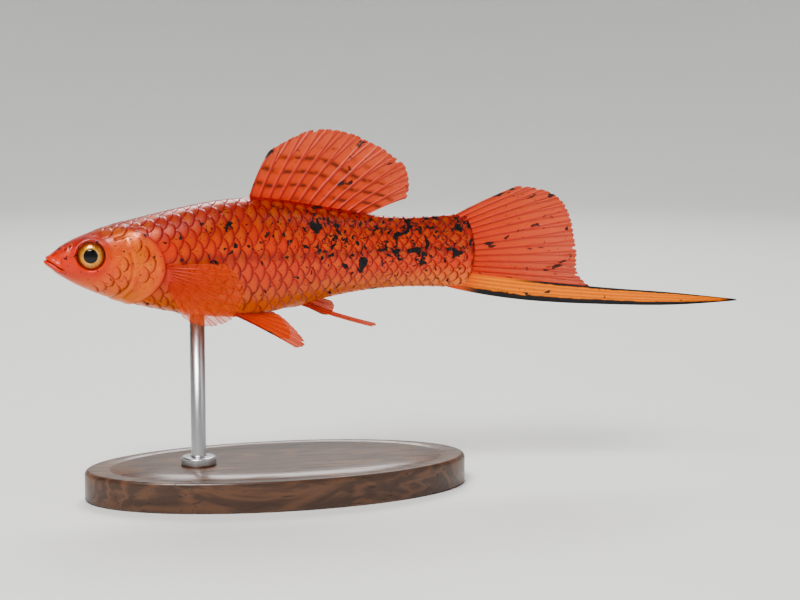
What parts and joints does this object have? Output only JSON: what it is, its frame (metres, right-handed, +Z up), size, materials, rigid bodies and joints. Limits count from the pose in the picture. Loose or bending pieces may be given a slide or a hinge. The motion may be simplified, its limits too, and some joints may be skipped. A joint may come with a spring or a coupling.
{
  "type": "swordtail fish model",
  "caption": "Life-size model of a male swordtail, a red fish with black flecks and a long tail sword, held over an oval base by one rod.",
  "frame": {"origin": "on the table, under the middle of the whole model's box", "axes": "the fish looks along -X, its left side faces -Y, +Z is up"},
  "size_m": [0.107, 0.03, 0.0539],
  "materials": {
    "skin": "scaled skin, orange-red with small black flecks, glossy as if wet",
    "fin": "thin red fin membrane with darker rays, a little translucent",
    "sword": "golden orange fin rays with black edges",
    "eye": "clear and wet, black pupil in a golden-red iris",
    "stand_base": "dark walnut, satin varnish",
    "stand_rod": "fine brushed steel"
  },
  "bodies": {
    "root": {"head": "skin", "torso": "skin", "tail_root": "skin", "gill_cover_left": "skin", "gill_cover_right": "skin", "dorsal_fin": "fin", "tail_fin": "fin", "gonopodium": "fin", "pectoral_fin_left": "fin", "pectoral_fin_right": "fin", "pelvic_fin_left": "fin", "pelvic_fin_right": "fin", "tail_sword": "sword", "eye_left": "eye", "eye_right": "eye", "stand_base": "stand_base", "stand_rod": "stand_rod"}
  },
  "joints": []
}
